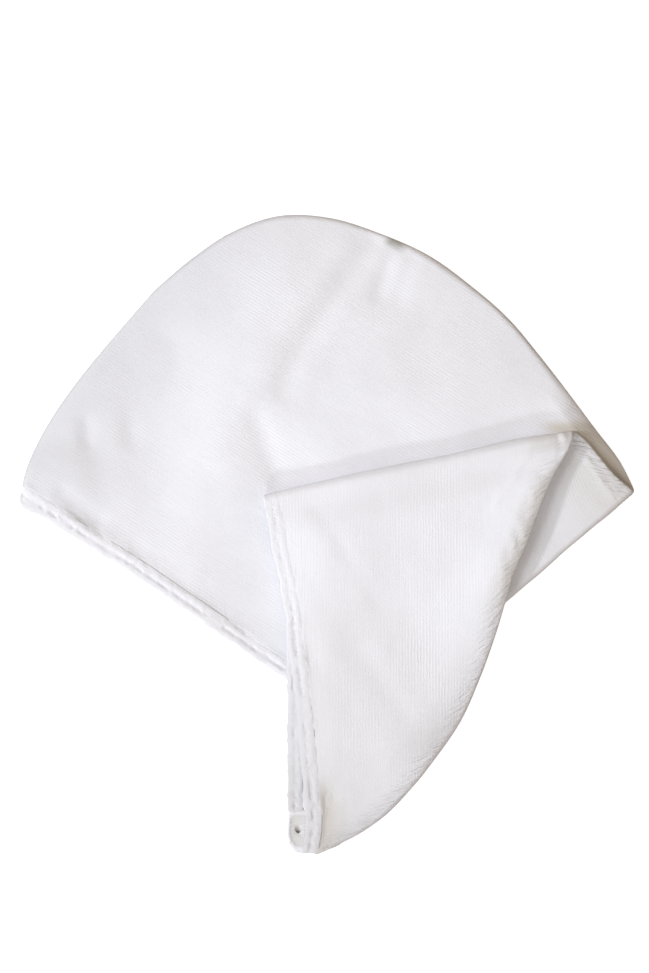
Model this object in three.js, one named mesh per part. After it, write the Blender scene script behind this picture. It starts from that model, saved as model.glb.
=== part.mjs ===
// Hair towel: a hood with a long tapering tail, sewn from two equal cloth panels along nape,
// crown and tail, with a gathered elastic hem along its opening. It lies flat, and its tail is
// folded up over the hood and then back down again, so six walls of cloth lie on each other
// where the tail crosses the hood. Millimetres and degrees, +Z up, resting on z = 0.
//
// Flat pattern: s runs along the opening from the nape corner to the tip of the tail, and w runs
// across the cloth from the opening to the seam. The two folds carry this pattern into its place.

import * as THREE from 'three';

const { clamp, degToRad, lerp, smoothstep } = THREE.MathUtils;

// Cloth, hem and seam
const rimLength = 640;
const clothWidth = 265;
const napeHeight = 155;
const napeBulge = 12;
const napeBulgeSkew = 0.65;
const clothThickness = 2;
const hemWidth = 10.5;
const hemThickness = 3.6;
const hemFade = 20;
const clearance = 0.3;
const hemClearance = 0.6;
const gatherPitch = 14;
const gatherDepth = 0.7;
const hemEndShare = 0.6;

// How it lies
const rimSlope = -32.1;
const foldTurn = 10;
const hoodPuff = 14;
const mouthPuff = 9;
const mouthDepth = 80;
const crownRise = 65;
const tailPuff = 2.2;
const tailRise = 35;
const drapeReach = 14;
const pressReach = 26;

// Fastening
const loopLength = 27;
const loopWidth = 17;
const loopCord = 4.8;
const loopThickness = 3;
const loopInset = 1;
const buttonDiameter = 17;
const buttonThickness = 3;
const buttonRound = 0.75;
const buttonInset = 4;

// Where each fold crosses the line s at w = 0, as a share of rimLength, and how it leans from w
const folds = [
  { start: 0.403, lean: 17.3 },
  { start: 0.6446, lean: -11.5 },
].map(({ start, lean }) => ({
  start: start * rimLength,
  slope: Math.tan(degToRad(lean)),
  normal: new THREE.Vector2(Math.cos(degToRad(lean)), -Math.sin(degToRad(lean))),
}));

// Opening edge: share of rimLength, share of clothWidth
const rimRows = [
  [-0.02, -0.004], [0.06, -0.009], [0.13, -0.01], [0.2, -0.016], [0.25, -0.022],
  [0.308, -0.027], [0.4, -0.026], [0.51, -0.02], [0.59, -0.012], [0.645, -0.004], [0.684, 0.019],
  [0.713, 0.033], [0.742, 0.04], [0.772, 0.04], [0.801, 0.035], [0.84, 0.029], [0.928, 0.0285],
  [0.972, 0.028], [0.986, 0.037], [1, 0.061],
];

// Seam edge from the top of the nape to the tip: share of rimLength, share of clothWidth
const seamRows = [
  [0, 0.585], [0.014, 0.693], [0.034, 0.8], [0.065, 0.892], [0.107, 0.95], [0.154, 0.981],
  [0.21, 1], [0.268, 0.99], [0.311, 0.972], [0.352, 0.94], [0.394, 0.903], [0.438, 0.862],
  [0.475, 0.828], [0.507, 0.785], [0.548, 0.732], [0.586, 0.715], [0.612, 0.697], [0.661, 0.644],
  [0.715, 0.587], [0.765, 0.545], [0.828, 0.486], [0.872, 0.436], [0.915, 0.363],
  [0.9375, 0.318], [0.961, 0.264], [0.98, 0.203], [0.992, 0.15], [1, 0.11],
];

// How far the front hem lies inside the back one: share of rimLength, share of hemWidth
const hemShiftRows = [
  [0, 0], [0.7, 0], [0.78, 0.03], [0.84, 0.42], [0.9, 0.74], [0.94, 0.96], [0.965, 1.15],
  [0.982, 1.22], [1, 1.02],
];

// Dents and ridges of the upper wall: from and to as shares of rimLength and clothWidth, then
// how far each one reaches to its sides and how far it rises, as shares of hemWidth and hoodPuff
const creaseRows = [
  // the long valley down the hood, and the ridge beside it
  { from: [0.128, 0.86], to: [0.139, 0.647], reach: 1.5, rise: -0.28 },
  { from: [0.139, 0.647], to: [0.141, 0.423], reach: 1.4, rise: -0.3 },
  { from: [0.141, 0.423], to: [0.185, 0.341], reach: 1.2, rise: -0.26 },
  { from: [0.1, 0.5], to: [0.152, 0.32], reach: 1.2, rise: 0.2 },
  { from: [0.152, 0.32], to: [0.19, 0.24], reach: 1.1, rise: 0.16 },
  // two dents beside the nape
  { from: [0.016, 0.27], to: [0.02, 0.19], reach: 0.7, rise: -0.14 },
  { from: [0.042, 0.28], to: [0.048, 0.21], reach: 0.7, rise: -0.12 },
  // two sunken patches above the hem
  { from: [0.036, 0.08], to: [0.085, 0.062], reach: 0.9, rise: -0.2 },
  { from: [0.2, 0.075], to: [0.25, 0.055], reach: 0.9, rise: -0.16 },
  // the notch in the seam, and the crease across the flap
  { from: [0.16, 1], to: [0.196, 0.93], reach: 0.9, rise: -0.2 },
  { from: [0.6, 0.62], to: [0.66, 0.53], reach: 0.6, rise: 0.07 },
];

// The hem in section: share of hemWidth from its middle, share of half its thickness
const hemSection = [
  [-0.5, -0.2], [-0.4, 0.8], [-0.12, 1], [0.1, 0.6], [0.34, 0.95], [0.5, 0.2], [0.4, -0.9],
  [-0.38, -0.9],
];
const outerEdge = hemSection[0][0];

// Rows of a panel from hem to seam: share of the width, then how much of half the wall lies on
// the inner and on the outer side, which closes both walls to one edge at the seam
const panelRows = [
  [0, 0.6, 0.6], [0.014, 1, 1], [0.07, 1, 1], [0.16, 1, 1], [0.27, 1, 1], [0.39, 1, 1],
  [0.51, 1, 1], [0.63, 1, 1], [0.75, 1, 1], [0.87, 1, 1], [0.972, 1, 0.8], [1, 1, -0.2],
];
const endRow = [1, -0.2];
const shiftedShare = 0.6;
const turnSteps = 6;

// A smooth line through table rows, as a function of its first column
function profile(rows, xSize, ySize) {
  const knots = rows.map(([x, y]) => new THREE.Vector2(x * xSize, y * ySize));
  const points = new THREE.SplineCurve(knots).getPoints(rows.length * 8);
  return (x) => {
    const i = Math.max(1, points.findIndex((point, n) => point.x >= x || n === points.length - 1));
    const share = clamp((x - points[i - 1].x) / (points[i].x - points[i - 1].x), 0, 1);
    return lerp(points[i - 1].y, points[i].y, share);
  };
}

const openingEdge = profile(rimRows, rimLength, clothWidth);
const seamEdge = profile(seamRows, rimLength, clothWidth);
const hemShift = profile(hemShiftRows, rimLength, hemWidth);
const rimEdge = {
  front: (s) => openingEdge(s) + hemShift(s),
  back: openingEdge,
};

// The nape bows out past the straight end of the pattern
function bowed(s, w) {
  const bulge = napeBulge * Math.sin(Math.PI * clamp(w / napeHeight, 0, 1) ** napeBulgeSkew);
  return s - bulge * clamp(1 - s / (napeHeight / 2), 0, 1) ** 2;
}

// Where the cloth ends at the tip, and the sewn edge from the nape corner to there
const tailEnd = rimLength - hemWidth / 2;
const shares = (count) => Array.from({ length: count + 1 }, (_, n) => n / count);
const seamLine = [
  ...shares(12).slice(0, -1).map((share) => {
    const w = napeHeight * share;
    return new THREE.Vector2(bowed(0, w), w);
  }),
  ...shares(60).map((share) => new THREE.Vector2(tailEnd * share, seamEdge(tailEnd * share))),
];

function distanceToLine(point, from, to) {
  const along = to.clone().sub(from);
  const share = clamp(point.clone().sub(from).dot(along) / along.lengthSq(), 0, 1);
  return point.distanceTo(from.clone().addScaledVector(along, share));
}

function seamDistance(point) {
  const steps = seamLine.slice(1).map((to, n) => distanceToLine(point, seamLine[n], to));
  return Math.min(...steps);
}

// Folding: signed distance past a fold, and the mirror image of a point in it
function pastFold(point, fold) {
  return (point.x - fold.start) * fold.normal.x + point.y * fold.normal.y;
}

function mirrored(point, fold) {
  return point.clone().addScaledVector(fold.normal, -2 * pastFold(point, fold));
}

const plan = new THREE.Matrix3().makeRotation(degToRad(rimSlope));

function patternAt(section, place) {
  const point = place.clone().applyMatrix3(plan.clone().invert());
  return folds.slice(0, section).reduce(mirrored, point);
}

function sectionOf(point) {
  return folds.filter((fold) => pastFold(point, fold) > 0).length;
}

// Where a pattern point lies in plan, the section under it, and its turn round a fold
function layDown(point) {
  const laid = { section: 0, turn: 0, out: new THREE.Vector2() };
  let place = point.clone();
  let folded = false;
  for (const fold of [...folds].reverse()) {
    const past = pastFold(place, fold);
    if (folded || past >= foldTurn / 2) {
      place = mirrored(place, fold);
      laid.out.addScaledVector(fold.normal, -2 * laid.out.dot(fold.normal));
      laid.section += 1;
      folded = true;
    } else if (past > -foldTurn / 2) {
      laid.turn = Math.PI * (past / foldTurn + 0.5);
      laid.out.copy(fold.normal);
      place.addScaledVector(fold.normal, -past - foldTurn / 2);
      folded = true;
    }
  }
  laid.place = place.applyMatrix3(plan);
  laid.out.rotateAround(new THREE.Vector2(), degToRad(rimSlope));
  return laid;
}

// Height maps over the plan: what lies under a section, spread out as cloth bridges its edges
const mapCell = 4;
const mapArea = new THREE.Box2();
for (const { x, y } of seamLine) {
  mapArea.expandByPoint(layDown(new THREE.Vector2(x, y)).place);
  mapArea.expandByPoint(layDown(new THREE.Vector2(x, openingEdge(x))).place);
}
mapArea.expandByScalar(hemWidth + 2 * pressReach);
const mapSize = mapArea.getSize(new THREE.Vector2()).divideScalar(mapCell).ceil().addScalar(1);

function mapOf(heightAt) {
  return Array.from({ length: mapSize.y }, (_, row) =>
    Array.from({ length: mapSize.x }, (_, column) => {
      const place = new THREE.Vector2(column, row).multiplyScalar(mapCell).add(mapArea.min);
      return heightAt(place);
    }),
  );
}

function windowed(values, radius, merge) {
  return values.map((_, n) => merge(values.slice(Math.max(0, n - radius), n + radius + 1)));
}

function filtered(map, radius, merge) {
  const rows = map.map((row) => windowed(row, radius, merge));
  const columns = rows[0].map((_, n) => windowed(rows.map((row) => row[n]), radius, merge));
  return rows.map((_, n) => columns.map((column) => column[n]));
}

const highest = (values) => Math.max(...values);
const mean = (values) => values.reduce((sum, value) => sum + value, 0) / values.length;

function spread(map, reach) {
  const radius = Math.round(reach / mapCell);
  const raised = filtered(map, radius, highest);
  const soft = filtered(raised, Math.floor(radius / 2), mean);
  const softer = filtered(soft, Math.floor(radius / 2), mean);
  return (place) => {
    const at = place.clone().sub(mapArea.min).divideScalar(mapCell);
    const column = clamp(Math.floor(at.x), 0, mapSize.x - 2);
    const row = clamp(Math.floor(at.y), 0, mapSize.y - 2);
    const [across, up] = [at.x - column, at.y - row];
    return lerp(
      lerp(softer[row][column], softer[row][column + 1], across),
      lerp(softer[row + 1][column], softer[row + 1][column + 1], across),
      up,
    );
  };
}

function covers(section, point) {
  const inside = point.y > openingEdge(point.x) && point.y < seamEdge(point.x);
  const started = bowed(0, point.y) < point.x && point.x < tailEnd + hemWidth;
  return inside && started && sectionOf(point) === section;
}

// The tail presses the hood flat where it lies on it
const tailPress = spread(
  mapOf((place) => (covers(1, patternAt(1, place)) || covers(2, patternAt(2, place)) ? 1 : 0)),
  pressReach,
);

// Spacing of the walls, wider where they end in the thicker hem
function wallPitch(side, point) {
  const inward = point.y - rimEdge[side](point.x) - hemWidth;
  const share = smoothstep(inward, 0, hemFade);
  return lerp(hemThickness, clothThickness, share) + clearance;
}

function creases(point) {
  const size = new THREE.Vector2(rimLength, clothWidth);
  return creaseRows.reduce((sum, { from, to, reach, rise }) => {
    const start = new THREE.Vector2(...from).multiply(size);
    const end = new THREE.Vector2(...to).multiply(size);
    const away = distanceToLine(point, start, end) / (reach * hemWidth);
    return sum + rise * hoodPuff * Math.exp(-away * away);
  }, 0);
}

// Air between the two walls of a section
function puff(section, point, place) {
  if (section === 1) return 0;
  const reach = section === 0 ? crownRise : tailRise;
  const rise = 1 - (1 - clamp(seamDistance(point) / reach, 0, 1)) ** 2;
  const nearFold = Math.min(...folds.map((fold) => Math.abs(pastFold(point, fold))));
  const open = smoothstep(nearFold, foldTurn, 3 * foldTurn) * rise;
  if (section === 2) {
    const inward = smoothstep(point.y - rimEdge.front(point.x), 0, 3 * hemWidth);
    return open * Math.max(0, tailPuff * inward + creases(point));
  }
  const deep = lerp(mouthPuff, hoodPuff, smoothstep(point.y, 0, mouthDepth));
  return open * (1 - tailPress(place)) * Math.max(0, deep + creases(point));
}

// What each section lies on: the button, then the sections below it
const buttonCentre = new THREE.Vector2(
  buttonDiameter / 2 + buttonInset,
  (hemWidth + buttonDiameter) / 2 - buttonInset,
);
const supports = [
  spread(
    mapOf((place) => {
      const away = patternAt(0, place).distanceTo(buttonCentre);
      return away < buttonDiameter / 2 + mapCell ? buttonThickness + clearance : 0;
    }),
    drapeReach,
  ),
];

function topOf(section, place) {
  const point = patternAt(section, place);
  if (!covers(section, point)) return 0;
  const walls = 2 * wallPitch(section === 1 ? 'back' : 'front', point);
  return supports[section](place) + walls + puff(section, point, place);
}

supports.push(spread(mapOf((place) => topOf(0, place)), drapeReach));
supports.push(spread(mapOf((place) => Math.max(topOf(0, place), topOf(1, place))), drapeReach));

// Middle height of a wall in a section
function wallHeight(section, side, point, place) {
  const upper = (section === 1) !== (side === 'front');
  const pitch = wallPitch(side, point);
  const under = supports[section](place) - clearance / 2;
  return under + (upper ? 1.5 * pitch + puff(section, point, place) : pitch / 2);
}

// A pattern point of a wall in its folded place, raised along the wall by lift
function placed(side, s, w, lift) {
  const point = new THREE.Vector2(s, w);
  const { section, turn, out, place } = layDown(point);
  const low = wallHeight(section, side, point, place);
  const high = turn > 0 ? wallHeight(section + 1, side, point, place) : low;
  const radius = (high - low) / 2;
  const raised = section === 1 ? -lift : lift;
  const forward = (radius - raised) * Math.sin(turn);
  const level = turn > 0 ? low + radius - (radius - raised) * Math.cos(turn) : low + raised;
  return new THREE.Vector3(place.x + out.x * forward, place.y + out.y * forward, level);
}

// Straight lines across the pattern, parallel to each fold where they turn round it
function stations(start, end, spacing) {
  const lines = [];
  const reach = (fold) => foldTurn / 2 / fold.normal.x;
  const stops = [
    { from: start, to: folds[0].start - reach(folds[0]), lean: [0, folds[0].slope] },
    {
      from: folds[0].start + reach(folds[0]),
      to: folds[1].start - reach(folds[1]),
      lean: [folds[0].slope, folds[1].slope],
    },
    { from: folds[1].start + reach(folds[1]), to: end, lean: [folds[1].slope, 0] },
  ];
  stops.forEach(({ from, to, lean }, n) => {
    const steps = Math.ceil((to - from) / spacing);
    for (let step = 0; step <= steps; step += 1) {
      lines.push({ s: lerp(from, to, step / steps), lean: lerp(...lean, step / steps) });
    }
    if (n < folds.length) {
      for (let step = 1; step < turnSteps; step += 1) {
        const s = lerp(to, stops[n + 1].from, step / turnSteps);
        lines.push({ s, lean: folds[n].slope });
      }
    }
  });
  return lines;
}

// Where a leaning line meets an edge of the pattern
function meets(line, edge) {
  let w = edge(line.s);
  for (let pass = 0; pass < 12; pass += 1) w = edge(line.s + line.lean * w);
  return w;
}

// Closed bodies from rings of points: each ring joins the next, and the ends are capped
function bodyOfRings(rings, closed) {
  const sides = rings[0].length;
  const index = [];
  const count = closed ? rings.length : rings.length - 1;
  for (let n = 0; n < count; n += 1) {
    const [here, next] = [n * sides, ((n + 1) % rings.length) * sides];
    for (let side = 0; side < sides; side += 1) {
      const beside = (side + 1) % sides;
      index.push(here + side, next + side, here + beside);
      index.push(here + beside, next + side, next + beside);
    }
  }
  if (!closed) {
    const last = (rings.length - 1) * sides;
    for (let side = 1; side < sides - 1; side += 1) {
      index.push(0, side, side + 1);
      index.push(last, last + side + 1, last + side);
    }
  }
  return geometryOf(rings.flat(), index);
}

function geometryOf(points, index) {
  const geometry = new THREE.BufferGeometry().setFromPoints(points);
  geometry.setIndex(index);
  geometry.computeVertexNormals();
  return geometry;
}

// Two more lines beside an end of the cloth, where its edge turns sharply
function closer(end, next) {
  return [0.2, 0.5].map((share) => ({
    s: lerp(end.s, next.s, share),
    lean: lerp(end.lean, next.lean, share),
  }));
}

// The loop's middle, and the room the back panel leaves for the hem and then for the loop
const loopStart = rimLength - loopInset - loopLength;
const loopCentre = new THREE.Vector2(
  loopStart + loopLength / 2,
  openingEdge(loopStart) + loopWidth / 2,
);

function casingWidth(side, s) {
  if (side === 'front') return hemWidth;
  const share = smoothstep(s, loopStart - loopLength / 2, loopStart);
  return lerp(hemWidth, Math.max(hemWidth, loopWidth), share);
}

// A cloth panel: its two faces row by row, joined round its four edges
function panel(side) {
  const even = stations(0, tailEnd, gatherPitch);
  const lines = [even[0], ...closer(even[0], even[1]), ...even.slice(1, -1)];
  lines.push(...closer(even.at(-1), even.at(-2)).reverse(), even.at(-1));
  const points = [];
  lines.forEach((line, n) => {
    const common = meets(line, (s) => openingEdge(s) + hemWidth + hemClearance);
    const low = meets(line, (s) => rimEdge[side](s) + casingWidth(side, s) + hemClearance);
    const high = Math.max(meets(line, seamEdge), low + clothThickness);
    const atEnd = n === 0 || n === lines.length - 1;
    for (const [share, rowInner, rowOuter] of panelRows) {
      const [inner, outer] = atEnd ? [Math.min(rowInner, endRow[0]), endRow[1]] : [rowInner, rowOuter];
      const w = lerp(common, high, share) + (low - common) * Math.max(0, 1 - share / shiftedShare);
      const s = bowed(line.s + line.lean * w, w);
      const half = clothThickness / 2;
      const faces = side === 'front' ? [outer, -inner] : [inner, -outer];
      points.push(...faces.map((face) => placed(side, s, w, face * half)));
    }
  });
  const rows = panelRows.length;
  const at = (line, row, face) => 2 * (line * rows + row) + face;
  const index = [];
  const quad = (a, b, c, d) => index.push(a, b, c, a, c, d);
  const last = lines.length - 1;
  for (let n = 0; n < last; n += 1) {
    for (let row = 0; row < rows - 1; row += 1) {
      quad(at(n, row, 0), at(n + 1, row, 0), at(n + 1, row + 1, 0), at(n, row + 1, 0));
      quad(at(n, row, 1), at(n, row + 1, 1), at(n + 1, row + 1, 1), at(n + 1, row, 1));
    }
    quad(at(n, 0, 1), at(n + 1, 0, 1), at(n + 1, 0, 0), at(n, 0, 0));
    quad(at(n, rows - 1, 0), at(n + 1, rows - 1, 0), at(n + 1, rows - 1, 1), at(n, rows - 1, 1));
  }
  for (let row = 0; row < rows - 1; row += 1) {
    quad(at(0, row, 1), at(0, row, 0), at(0, row + 1, 0), at(0, row + 1, 1));
    quad(at(last, row, 0), at(last, row, 1), at(last, row + 1, 1), at(last, row + 1, 0));
  }
  return geometryOf(points, index);
}

// The hem casing, pulled into gathers by its elastic
function rim(side, end) {
  const lines = stations(-napeBulge / 4, end, gatherPitch / 2);
  const last = lines.length - 1;
  const rings = lines.map((line, n) => {
    const middle = meets(line, rimEdge[side]) + hemWidth / 2;
    const gathered = n % 2;
    const full = n === 0 || n === last ? hemEndShare : 1;
    return hemSection.map(([across, up]) => {
      const outward = across === outerEdge ? gathered * gatherDepth : 0;
      const w = middle + across * (hemWidth * full - gathered * gatherDepth) - outward;
      const height = (hemThickness - gathered * gatherDepth) * (full / 2);
      return placed(side, line.s + line.lean * w, w, up * height);
    });
  });
  return bodyOfRings(rings, false);
}

// The loop at the tip: a cord round an oval, in line with the back hem
function fasteningLoop() {
  const [turns, sides] = [20, 8];
  const half = new THREE.Vector2(loopLength - loopCord, loopWidth - loopCord).divideScalar(2);
  const rings = Array.from({ length: turns }, (_, turn) => {
    const angle = (2 * Math.PI * turn) / turns;
    const [along, across] = [Math.cos(angle), Math.sin(angle)];
    return Array.from({ length: sides }, (_, side) => {
      const round = (2 * Math.PI * side) / sides;
      const widen = (Math.cos(round) * loopCord) / 2;
      const s = loopCentre.x + along * (half.x + widen);
      const w = loopCentre.y + across * (half.y + widen);
      return placed('back', s, w, (Math.sin(round) * loopThickness) / 2);
    });
  });
  return bodyOfRings(rings, true);
}

function button() {
  const radius = buttonDiameter / 2;
  const flat = radius - buttonRound;
  const outline = [
    [0, 0], [flat, 0], [radius, buttonRound], [radius, buttonThickness - buttonRound],
    [flat, buttonThickness], [0, buttonThickness],
  ].map(([x, y]) => new THREE.Vector2(x, y));
  const geometry = new THREE.LatheGeometry(outline, 20);
  geometry.rotateX(Math.PI / 2);
  const centre = buttonCentre.clone().applyMatrix3(plan);
  geometry.translate(centre.x, centre.y, 0);
  return geometry;
}

function mesh(name, geometry, color, roughness) {
  const material = new THREE.MeshStandardMaterial({ color, roughness, metalness: 0 });
  const piece = new THREE.Mesh(geometry, material);
  piece.name = name;
  return piece;
}

const towel = new THREE.Group();
const backHemEnd = loopStart - clearance;
const frontHemEnd = rimLength - loopInset;
towel.add(
  mesh('front_panel', panel('front'), 0xf1f0f2, 0.95),
  mesh('back_panel', panel('back'), 0xeeedef, 0.95),
  mesh('front_rim', rim('front', frontHemEnd), 0xecebed, 0.9),
  mesh('back_rim', rim('back', backHemEnd), 0xe9e8ea, 0.9),
  mesh('fastening_loop', fasteningLoop(), 0xe4e3e5, 0.85),
  mesh('button', button(), 0xf4f3ef, 0.4),
);

// The origin is the middle of the whole towel's footprint, on the surface it lies on
const extent = new THREE.Box3().setFromObject(towel);
const middle = extent.getCenter(new THREE.Vector3());
towel.position.set(-middle.x, -middle.y, -extent.min.z);

export default towel;
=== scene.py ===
import math

import bpy
import numpy as np
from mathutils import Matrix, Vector


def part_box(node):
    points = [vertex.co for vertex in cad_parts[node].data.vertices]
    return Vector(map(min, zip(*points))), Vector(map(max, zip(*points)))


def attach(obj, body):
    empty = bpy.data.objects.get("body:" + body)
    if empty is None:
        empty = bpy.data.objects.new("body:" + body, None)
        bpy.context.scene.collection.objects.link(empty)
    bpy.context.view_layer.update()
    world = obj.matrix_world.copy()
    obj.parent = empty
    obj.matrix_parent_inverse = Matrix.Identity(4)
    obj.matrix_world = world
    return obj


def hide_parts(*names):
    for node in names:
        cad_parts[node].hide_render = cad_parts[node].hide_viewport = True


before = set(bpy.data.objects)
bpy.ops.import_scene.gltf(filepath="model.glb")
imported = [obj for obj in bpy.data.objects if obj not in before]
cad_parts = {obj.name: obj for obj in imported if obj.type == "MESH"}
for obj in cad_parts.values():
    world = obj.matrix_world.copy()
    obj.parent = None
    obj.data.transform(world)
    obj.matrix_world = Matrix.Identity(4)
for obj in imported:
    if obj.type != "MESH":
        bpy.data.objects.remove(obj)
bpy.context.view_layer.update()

# The towel is laid out from its flat pattern: s runs along the opening from the nape corner to
# the tip of the tail, and w runs across the cloth from the opening to the seam. Millimetres here,
# metres in the scene.

# Cloth, hem and seam
RIM_LENGTH = 640.0
CLOTH_WIDTH = 265.0
NAPE_HEIGHT = 155.0
NAPE_BULGE = 12.0
NAPE_BULGE_SKEW = 0.65
CLOTH_THICKNESS = 1.5
HEM_WIDTH = 10.5
HEM_THICKNESS = 2.1
HEM_OVERLAP = 2.2
HEM_FADE = 20.0
CLEARANCE = 0.2
SEAM_ROUND = 2.5
FLAP_ROUND = 10.0
TAIL_END = RIM_LENGTH - HEM_WIDTH / 2

# How it lies
RIM_SLOPE = math.radians(-32.1)
FOLD_TURN = 10.0
HOOD_PUFF = 6.4
MOUTH_PUFF = 7.0
MOUTH_DEPTH = 80.0
CROWN_RISE = 130.0
EDGE_RISE = 4.0
EDGE_SHARE = 0.15
TAIL_PUFF = 3.2
TAIL_RISE = 22.0
DRAPE_REACH = 14.0
TAIL_DRAPE_REACH = 26.0
PRESS_REACH = 30.0
EDGE_LIFT = 6.5
EDGE_LIFT_REACH = 22.0
SIDE_ROUND = 10.0
SIDE_RISE = 11.0
PRESS_SHARE = 0.52
SHOULDER_RISE = 5.0
SHOULDER_REACH = 7.0
CORNER_PRESS = 0.4
NAPE_SWELL = 3.0
TIP_BULGE = 5.0
END_ROUND = 4.5
CORNER_REACH = 34.0

# Fastening
LOOP_LENGTH = 27.0
LOOP_WIDTH = 17.0
LOOP_THICKNESS = 3.0
LOOP_INSET = 1.0
LOOP_HOLE = np.array([5.0, 3.6])
LOOP_SLANT = 5.4
LOOP_HOLE_SHIFT = -1.6
LOOP_HOLE_DROP = 1.8
BUTTON_DIAMETER = 17.0
BUTTON_THICKNESS = 3.0
BUTTON_INSET = 4.0

RIM_ROWS = [
    (-0.02, -0.004), (0.06, -0.009), (0.13, -0.01), (0.2, -0.016), (0.25, -0.022),
    (0.308, -0.027), (0.4, -0.026), (0.51, -0.023), (0.6, -0.026), (0.645, -0.027),
    (0.672, -0.015), (0.696, -0.007), (0.714, 0.002), (0.74, 0.016), (0.766, 0.027),
    (0.801, 0.029), (0.84, 0.029), (0.928, 0.0285), (0.972, 0.028), (0.986, 0.027), (1, 0.0255),
]
SEAM_ROWS = [
    (0, 0.585), (0.014, 0.693), (0.034, 0.8), (0.065, 0.892), (0.107, 0.95), (0.154, 0.981),
    (0.21, 1), (0.268, 0.99), (0.311, 0.972), (0.352, 0.94), (0.394, 0.903), (0.438, 0.862),
    (0.475, 0.828), (0.507, 0.782), (0.527, 0.757), (0.547, 0.742), (0.567, 0.728), (0.584, 0.711),
    (0.598, 0.702),
    (0.614, 0.682), (0.632, 0.656), (0.659, 0.629), (0.697, 0.594), (0.725, 0.565),
    (0.752, 0.545), (0.788, 0.519), (0.828, 0.484), (0.872, 0.436),
    (0.915, 0.363), (0.9375, 0.318), (0.961, 0.264), (0.98, 0.203), (0.992, 0.15), (1, 0.11),
]
HEM_SHIFT_ROWS = [
    (0, 0), (0.7, 0), (0.78, 0.03), (0.84, 0.42), (0.9, 0.74), (0.94, 0.98), (0.96, 1.08),
    (0.98, 1.04), (1, 0.86),
]


class Fold:
    """A fold line across the pattern, from a point on w = 0, leaning from w."""

    def __init__(self, start, lean):
        self.start = start * RIM_LENGTH
        self.slope = math.tan(math.radians(lean))
        self.normal = np.array([math.cos(math.radians(lean)), -math.sin(math.radians(lean))])

    def past(self, p):
        return (p[..., 0] - self.start) * self.normal[0] + p[..., 1] * self.normal[1]

    def mirrored(self, p):
        return p - 2 * self.past(p)[..., None] * self.normal


FOLDS = [Fold(0.403, 17.3), Fold(0.6446, -11.5)]


def smoothstep(x, low, high):
    t = np.clip((x - low) / (high - low), 0, 1)
    return t * t * (3 - 2 * t)


def lerp(a, b, t):
    return a + (b - a) * t


def profile(rows, x_size, y_size):
    """A smooth line through table rows, as a function of its first column."""
    knots = np.array([(x * x_size, y * y_size) for x, y in rows])
    last = len(knots) - 1
    at = np.linspace(0, last, len(rows) * 8 + 1)
    n = np.minimum(np.floor(at).astype(int), last)
    t = (at - n)[:, None]
    p0, p1 = knots[np.where(n == 0, 0, n - 1)], knots[n]
    p2, p3 = knots[np.minimum(n + 1, last)], knots[np.minimum(n + 2, last)]
    v0, v1 = (p2 - p0) / 2, (p3 - p1) / 2
    line = (2 * p1 - 2 * p2 + v0 + v1) * t**3 + (-3 * p1 + 3 * p2 - 2 * v0 - v1) * t**2 + v0 * t + p1
    return lambda x: np.interp(x, line[:, 0], line[:, 1])


opening_edge = profile(RIM_ROWS, RIM_LENGTH, CLOTH_WIDTH)
seam_edge = profile(SEAM_ROWS, RIM_LENGTH, CLOTH_WIDTH)
hem_shift = profile(HEM_SHIFT_ROWS, RIM_LENGTH, HEM_WIDTH)


def rim_edge(side, s):
    return opening_edge(s) + (hem_shift(s) if side == "front" else 0)


def bowed(s, w):
    """The nape bows out past the straight end of the pattern."""
    bulge = NAPE_BULGE * np.sin(np.pi * np.clip(w / NAPE_HEIGHT, 0, 1) ** NAPE_BULGE_SKEW)
    tip = TIP_BULGE * np.clip(1 - (TAIL_END - s) / 35, 0, 1) ** 2 * np.clip((38 - w) / 12, -0.3, 1)
    return s - bulge * np.clip(1 - s / (NAPE_HEIGHT / 2), 0, 1) ** 2 + tip


nape_line = NAPE_HEIGHT * np.arange(24) / 24
top_line = np.linspace(0, TAIL_END, 121)
SEAM_LINE = np.concatenate([
    np.stack([bowed(0.0, nape_line), nape_line], 1),
    np.stack([top_line, seam_edge(top_line)], 1),
])
END_LINE = np.array([(TAIL_END, seam_edge(TAIL_END)), (TAIL_END, opening_edge(TAIL_END))])


def line_distance(p, line):
    """Distance from each point to a broken line."""
    out = np.full(p.shape[:-1], 1e9)
    for a, b in zip(line[:-1], line[1:]):
        along = b - a
        t = np.clip(((p - a) @ along) / (along @ along), 0, 1)
        out = np.minimum(out, np.linalg.norm(p - (a + t[..., None] * along), axis=-1))
    return out


def turned(p, angle):
    c, s = math.cos(angle), math.sin(angle)
    return p @ np.array([[c, s], [-s, c]])


def pattern_at(section, place):
    p = turned(place, -RIM_SLOPE)
    for fold in FOLDS[:section]:
        p = fold.mirrored(p)
    return p


def section_of(p):
    return sum((fold.past(p) > 0).astype(int) for fold in FOLDS)


def lay_down(p):
    """Where pattern points lie in plan, the section under them, and their turn round a fold."""
    place = p.copy()
    section = np.zeros(p.shape[:-1], int)
    turn = np.zeros(p.shape[:-1])
    out = np.zeros_like(p)
    folded = np.zeros(p.shape[:-1], bool)
    for fold in reversed(FOLDS):
        past = fold.past(place)
        over = folded | (past >= FOLD_TURN / 2)
        rolling = ~over & (past > -FOLD_TURN / 2)
        place[over] = fold.mirrored(place[over])
        out[over] -= 2 * (out[over] @ fold.normal)[..., None] * fold.normal
        section[over] += 1
        turn[rolling] = np.pi * (past[rolling] / FOLD_TURN + 0.5)
        out[rolling] = fold.normal
        place[rolling] += (-past[rolling] - FOLD_TURN / 2)[..., None] * fold.normal
        folded = over | rolling
    return turned(place, RIM_SLOPE), section, turn, turned(out, RIM_SLOPE)


# Smooth noise from a fixed table
NOISE_SIZE = 64
NOISE = np.random.default_rng(7).uniform(-1, 1, (8, NOISE_SIZE, NOISE_SIZE))


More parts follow.
